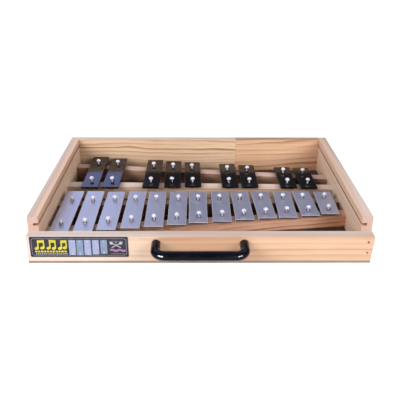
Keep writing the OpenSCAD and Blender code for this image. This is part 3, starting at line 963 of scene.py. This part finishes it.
PLATE_LO, PLATE_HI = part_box("label_plate")
PLATE_WIDE, PLATE_TALL = PLATE_HI.x - PLATE_LO.x, PLATE_HI.z - PLATE_LO.z
PLATE_FRONT = PLATE_LO.y
# printed layers stand a little proud of the plate
INK_FRONT = PLATE_FRONT - 0.00008
INK_BACK = PLATE_FRONT + 0.00002
LAYER = 0.00001                            # step that keeps overlapping prints apart


def on_plate(u, v):
    """(x, z) of a point given as fractions of the plate's width and height."""
    return PLATE_LO.x + PLATE_WIDE * u, PLATE_LO.z + PLATE_TALL * v


def rounded_box(x0, z0, x1, z1, r, steps=6):
    points = []
    for cx, cz, start in ((x1 - r, z0 + r, -90), (x1 - r, z1 - r, 0),
                          (x0 + r, z1 - r, 90), (x0 + r, z0 + r, 180)):
        for k in range(steps + 1):
            a = math.radians(start + 90 * k / steps)
            points.append((cx + r * math.cos(a), cz + r * math.sin(a)))
    return points


def inset_plate(inset, r):
    return rounded_box(PLATE_LO.x + inset, PLATE_LO.z + inset,
                       PLATE_HI.x - inset, PLATE_HI.z - inset, r)


def ellipse(cx, cz, a, b, turn=0.0):
    cos_t, sin_t = math.cos(turn), math.sin(turn)
    points = []
    for k in range(22):
        t = math.tau * k / 22
        x, z = a * math.cos(t), b * math.sin(t)
        points.append((cx + x * cos_t - z * sin_t, cz + x * sin_t + z * cos_t))
    return points


def stroke(points, width):
    """The outline of a thick line through the points."""
    left, right = [], []
    for k, (x, z) in enumerate(points):
        before = points[max(k - 1, 0)]
        after = points[min(k + 1, len(points) - 1)]
        way = Vector((after[0] - before[0], after[1] - before[1])).normalized()
        off = Vector((-way.y, way.x)) * (width / 2)
        left.append((x + off.x, z + off.y))
        right.append((x - off.x, z - off.y))
    return right + left[::-1]


def verts_at(bm, outline, y):
    return [bm.verts.new((x, y, z)) for x, z in outline]


def prism(bm, outline, front=INK_FRONT, back=INK_BACK):
    """A flat shape between two values of y."""
    rear = verts_at(bm, outline, back)
    fore = verts_at(bm, outline, front)
    bm.faces.new(fore)
    bm.faces.new(rear[::-1])
    bridge(bm, rear, fore)


def frame_prism(bm, outer, inner):
    """A printed frame between two outlines of equal count."""
    outer_fore = verts_at(bm, outer, INK_FRONT)
    inner_fore = verts_at(bm, inner, INK_FRONT)
    outer_rear = verts_at(bm, outer, INK_BACK)
    inner_rear = verts_at(bm, inner, INK_BACK)
    for k in range(len(outer)):
        j = (k + 1) % len(outer)
        bm.faces.new((outer_fore[k], outer_fore[j], inner_fore[j], inner_fore[k]))
        bm.faces.new((outer_rear[k], inner_rear[k], inner_rear[j], outer_rear[j]))
        bm.faces.new((outer_fore[k], outer_rear[k], outer_rear[j], outer_fore[j]))
        bm.faces.new((inner_fore[k], inner_fore[j], inner_rear[j], inner_rear[k]))


def dash(bm, x0, x1, z, half, corner):
    prism(bm, rounded_box(x0, z - half, x1, z + half, corner, 3))


def dash_row(bm, start, v, half, corner, widths, gap):
    """Dashes set out from the plate's left edge; start, widths and gap are in mm."""
    x = PLATE_LO.x + start * MM
    for width in widths:
        dash(bm, x, x + width * MM, PLATE_LO.z + PLATE_TALL * v, half, corner)
        x += (width + gap) * MM


def label_part(name, bm, ink):
    add_mesh(name, bm, INK[ink])


def label_backing():
    bm = bmesh.new()
    prism(bm, inset_plate(0.0, 0.0016), PLATE_FRONT, PLATE_HI.y)
    rim = [e for e in bm.edges if all(abs(v.co.y - PLATE_FRONT) < 1e-7 for v in e.verts)]
    bmesh.ops.bevel(bm, geom=rim, offset=0.00012, segments=2, affect="EDGES")
    add_mesh("label_backing", bm, FILM, replaces="label_plate")


def label_border():
    bm = bmesh.new()
    frame_prism(bm, inset_plate(0.0021, 0.0032), inset_plate(0.0026, 0.0027))
    label_part("label_border_line", bm, "pale")


# Five upright bars, a picture of a bar chime: (centre, foot) as fractions of the plate
CHIME = ((0.431, 0.075), (0.508, 0.085), (0.587, 0.10), (0.669, 0.125), (0.752, 0.155))
CHIME_HALF = 0.0041                        # half width of a bar
CHIME_TOP = 0.85


def label_bars():
    light, slate = bmesh.new(), bmesh.new()
    for k, (u, foot) in enumerate(CHIME):
        x, z0 = on_plate(u, foot)
        z1 = on_plate(u, CHIME_TOP)[1]
        prism(slate if k in (1, 4) else light,
              rounded_box(x - CHIME_HALF, z0, x + CHIME_HALF, z1, 0.0006, 4))
    label_part("label_bars_light", light, "blue")
    label_part("label_bars_slate", slate, "slate")


# Pairs of beamed notes, in mm: heads as (x from the plate's left edge, height over the common
# line), top of the first stem relative to the common top; then the beam's slope
NOTE_PAIRS = (
    (((8.5, 0.0), (15.5, 0.6)), -0.8, 0.09),
    (((23.2, 0.4), (29.7, 0.0)), 0.0, -0.08),
    (((37.2, 0.0), (43.2, 0.8)), -1.0, 0.12),
)
HEAD_V, STEM_TOP_V = 0.435, 0.86           # common line and top, as fractions of the plate
STEM_OFFSET, STEM_HALF = 0.0019, 0.0008    # stem's place right of the head, half its width
BEAM_TALL = 0.0036


def note_pair(bm, heads, top, slope):
    stems = []
    for x, rise in heads:
        head_x = PLATE_LO.x + x * MM
        head_z = PLATE_LO.z + PLATE_TALL * HEAD_V + rise * MM
        prism(bm, ellipse(head_x, head_z, 0.00275, 0.0020, turn=0.35))
        stem_x = head_x + STEM_OFFSET
        top_z = PLATE_LO.z + PLATE_TALL * STEM_TOP_V + (top + slope * (x - heads[0][0])) * MM
        x0, x1 = stem_x - STEM_HALF, stem_x + STEM_HALF
        prism(bm, [(x0, head_z), (x1, head_z), (x1, top_z), (x0, top_z)], INK_FRONT - LAYER)
        stems.append((stem_x, top_z))
    (ax, az), (bx, bz) = stems
    ax -= STEM_HALF
    bx += STEM_HALF
    prism(bm, [(ax, az - BEAM_TALL), (bx, bz - BEAM_TALL), (bx, bz), (ax, az)],
          INK_FRONT - 2 * LAYER)


def label_notes():
    """Yellow: beamed notes over a row of dashes."""
    bm = bmesh.new()
    for pair in NOTE_PAIRS:
        note_pair(bm, *pair)
    dash_row(bm, start=6.2, v=0.275, half=0.0012, corner=0.0004, gap=0.95,
             widths=(2.8, 2.4, 3.0, 2.4, 2.8, 2.4, 2.8, 2.6, 2.4, 3.0, 2.6))
    label_part("label_notes", bm, "yellow")


BEATERS = on_plate(0.878, 0.575)           # where the crossed beaters meet


def label_dots_and_beaters():
    """White: dots on the upright bars, short dashes, and two crossed beaters at the right."""
    bm = bmesh.new()
    for u, foot in CHIME:
        for v in (0.775, foot + 0.085):
            prism(bm, ellipse(*on_plate(u, v), 0.0011, 0.0011),
                  INK_FRONT - 0.00005, INK_FRONT + 0.00001)
    dash_row(bm, start=6.8, v=0.155, half=0.00058, corner=0.0003, gap=0.62,
             widths=[(1.6, 2.1, 1.3, 1.9)[k % 4] for k in range(17)])
    x, z = BEATERS
    for s in (-1, 1):
        stick = [(x - s * 0.0056, z - 0.0030), (x, z + 0.0003), (x + s * 0.0050, z + 0.0030)]
        prism(bm, stroke(stick, 0.0011), INK_FRONT - LAYER * (s + 1))
        prism(bm, ellipse(x + s * 0.0058, z + 0.0034, 0.0022, 0.0019, turn=s * 0.5),
              INK_FRONT - 3 * LAYER)
    label_part("label_dots_and_beaters", bm, "white")


def label_wave():
    """Pink: a wavy line under the beaters and a dot over their crossing."""
    bm = bmesh.new()
    wave = []
    for k in range(19):
        along = k / 18
        x, z = on_plate(0.815 + 0.155 * along, 0.335)
        wave.append((x, z + 0.0009 * math.sin(along * math.tau * 2.0)))
    prism(bm, stroke(wave, 0.0027))
    x, z = BEATERS
    prism(bm, ellipse(x, z + 0.0042, 0.0012, 0.0012))
    label_part("label_pink_wave", bm, "pink")


# Rows of grey dashes: height, count, left and right ends; all but the count are fractions
GREY_ROWS = ((0.785, 9, 0.805, 0.955), (0.165, 8, 0.825, 0.965))
GREY_FILL = 0.72                           # part of each pitch that is inked


def label_grey_dashes():
    bm = bmesh.new()
    for v, count, u0, u1 in GREY_ROWS:
        for k in range(count):
            x, z = on_plate(u0 + (u1 - u0) * k / count, v)
            dash(bm, x, x + PLATE_WIDE * (u1 - u0) / count * GREY_FILL, z, 0.0007, 0.0003)
    label_part("label_grey_dashes", bm, "grey")


label_backing()
label_border()
label_bars()
label_notes()
label_dots_and_beaters()
label_wave()
label_grey_dashes()

# ------------------------------------------------------------------ floor


def floor_material():
    """Matt grey that the camera sees lit up to white away from the case."""
    n = Material("studio_floor")
    place = n.coords(scale=1)
    color = n.mix(n.noise(place, scale=1.3, detail=2.0), (0.52, 0.52, 0.525),
                  (0.54, 0.54, 0.545))
    camera_ray = n.new("LightPath").outputs["Is Camera Ray"]
    far = n.remap(n.length(n.stretch(place, (1, 1, 0))), (0.28, 1.1), to=(0.72, 1.0),
                  smooth=True)
    return n.surface(Base_Color=color, Roughness=0.85, Emission_Color=(1.0, 1.0, 1.0),
                     Emission_Strength=n.times(far, camera_ray), Specular_IOR_Level=0.15)


bm = bmesh.new()
bmesh.ops.create_circle(bm, cap_ends=True, segments=96, radius=14.0)
floor = link_mesh("studio_floor", bm)
floor.data.materials.append(floor_material())

# ----------------------------------------------------------------- lights


def area(name, at, target, size, power, color=(1, 1, 1), gloss=False, diffuse=True):
    """A rectangular lamp of size (width, height) aimed at target."""
    lamp = bpy.data.lights.new(name, "AREA")
    lamp.energy = power
    lamp.color = color
    lamp.shape = "RECTANGLE"
    lamp.size, lamp.size_y = size
    obj = bpy.data.objects.new(name, lamp)
    obj.location = at
    obj.rotation_mode = "QUATERNION"
    obj.rotation_quaternion = (Vector(target) - Vector(at)).to_track_quat("-Z", "Y")
    obj.visible_glossy = gloss
    obj.visible_diffuse = diffuse
    SCENE.collection.objects.link(obj)
    return obj


def receivers(name, *objects):
    group = bpy.data.collections.new(name)
    for obj in objects:
        group.objects.link(bpy.data.objects[obj])
    return group


area("key_left", at=(-1.30, -1.10, 1.00), target=(0, 0, 0.02), size=(1.5, 1.0), power=39.5,
     color=(1.0, 0.985, 0.965))
area("key_right", at=(1.35, -1.10, 0.95), target=(0, 0, 0.02), size=(1.5, 1.0), power=28,
     color=(1.0, 0.98, 0.96))
area("front_fill", at=(0.0, -2.3, 0.55), target=(0, 0, 0.02), size=(1.4, 1.4), power=8,
     color=(1.0, 0.985, 0.97))
area("top_soft", at=(0.0, 0.15, 2.3), target=(0, 0, 0), size=(1.6, 1.6), power=6,
     color=(0.88, 0.94, 1.0))

# small panes that show only as reflections: the sparkles on the handle's bends and on the caps
handle_only = receivers("sparkle_receivers", "carry_handle_moulding")
handle_and_caps = receivers("small_sparkle_receivers", "carry_handle_moulding",
                            "natural_mushroom_caps", "accidental_mushroom_caps")
for side, lamp_x, target_x, handle_power in (("left", -0.93, -0.05, 600),
                                             ("right", 0.95, 0.05, 400)):
    for prefix, size, power, group in (
            ("spark_", (0.82, 0.40), 24, handle_and_caps),
            ("handle_spark_", (0.88, 0.48), handle_power, handle_only)):
        pane = area(prefix + side, at=(lamp_x, -1.49, 0.43), target=(target_x, -0.17, 0.03),
                    size=size, power=power, gloss=True, diffuse=False)
        pane.light_linking.receiver_collection = group

# ------------------------------------------------------------------ world


def build_world():
    """White to the camera. For all other rays a dim room: a pale panel stands behind the
    object to the left, a fainter one to the right."""
    world = bpy.data.worlds.new("studio")
    SCENE.world = world
    world.use_nodes = True
    g = Graph(world.node_tree)

    def calc(op, a, b):
        return g.math(op, a, b, None)

    def times(a, b):
        return calc("MULTIPLY", a, b)

    def step(value, span, to=(0.0, 1.0)):
        return g.remap(value, span, to, smooth=True)

    x, y, z = g.split(g.new("TexCoord").outputs["Generated"])
    slope = calc("DIVIDE", x, calc("MAXIMUM", y, 0.05))
    left = times(step(slope, (-0.150, -0.095), to=(1.0, 0.0)), step(slope, (-0.37, -0.225)))
    right = times(step(slope, (0.03, 0.14), to=(0.0, 0.040)),
                  step(slope, (0.14, 0.24), to=(1.0, 0.3)))
    behind = step(y, (0.1, 0.4))
    low = step(z, (0.47, 0.59), to=(1.0, 0.0))
    panel = times(times(left, behind), low)
    glow = times(times(right, behind), low)
    ambient = step(z, (0.30, 0.95), to=(0.05, 0.30))
    # a bright band above the panels, at the back
    band = times(times(step(z, (0.485, 0.60), to=(0.0, 0.70)),
                       step(z, (0.80, 0.95), to=(1.0, 0.3))), step(y, (0.0, 0.3)))
    strength = calc("ADD", calc("ADD", calc("ADD", ambient, band), times(panel, 1.55)), glow)
    # the panel is bluest in a narrow band of height
    off_band = calc("MAXIMUM", step(z, (0.432, 0.450)), step(z, (0.375, 0.395), to=(1.0, 0.0)))
    panel_color = g.mix(off_band, (0.66, 0.80, 1.62), (0.645, 0.755, 1.00))
    color = g.mix(panel, (0.86, 0.90, 1.05), panel_color)

    room = g.new("Background", {0: color, 1: strength})
    white = g.new("Background", {0: (1.0, 1.0, 1.0), 1: 1.0})
    camera_ray = g.new("LightPath").outputs["Is Camera Ray"]
    shown = g.new("MixShader", {0: camera_ray, 1: room.outputs[0], 2: white.outputs[0]})
    g.new("OutputWorld", {0: shown.outputs[0]})


build_world()

SCENE.view_settings.view_transform = "Standard"
SCENE.view_settings.look = "None"
SCENE.view_settings.exposure = 0.0
SCENE.view_settings.gamma = 1.0

# ----------------------------------------------------------------- camera

CAMERA_AT = (-0.00745849, -0.7415653, 0.39352988)
PITCH, YAW, ROLL = 0.394825967, -0.010439545, -0.004980014     # radians; pitch is downwards
SENSOR_MM = 36.0
LENS_MM = 50.24349684
SHIFT_Y = -0.10947953                      # lens shift, as part of the frame's width


def build_camera():
    data = bpy.data.cameras.new("camera")
    camera = bpy.data.objects.new("camera", data)
    SCENE.collection.objects.link(camera)
    SCENE.camera = camera
    camera.location = CAMERA_AT
    level_right = Vector((math.cos(YAW), math.sin(YAW), 0))
    level_ahead = Vector((-math.sin(YAW), math.cos(YAW), 0))
    ahead = level_ahead * math.cos(PITCH) - UP * math.sin(PITCH)
    pitched_up = level_ahead * math.sin(PITCH) + UP * math.cos(PITCH)
    right = level_right * math.cos(ROLL) - pitched_up * math.sin(ROLL)
    up = level_right * math.sin(ROLL) + pitched_up * math.cos(ROLL)
    camera.rotation_mode = "QUATERNION"
    camera.rotation_quaternion = Matrix((right, up, -ahead)).transposed().to_quaternion()
    data.sensor_fit = "HORIZONTAL"
    data.sensor_width = SENSOR_MM
    data.lens = LENS_MM
    data.shift_y = SHIFT_Y
    data.clip_start, data.clip_end = 0.02, 60.0


build_camera()
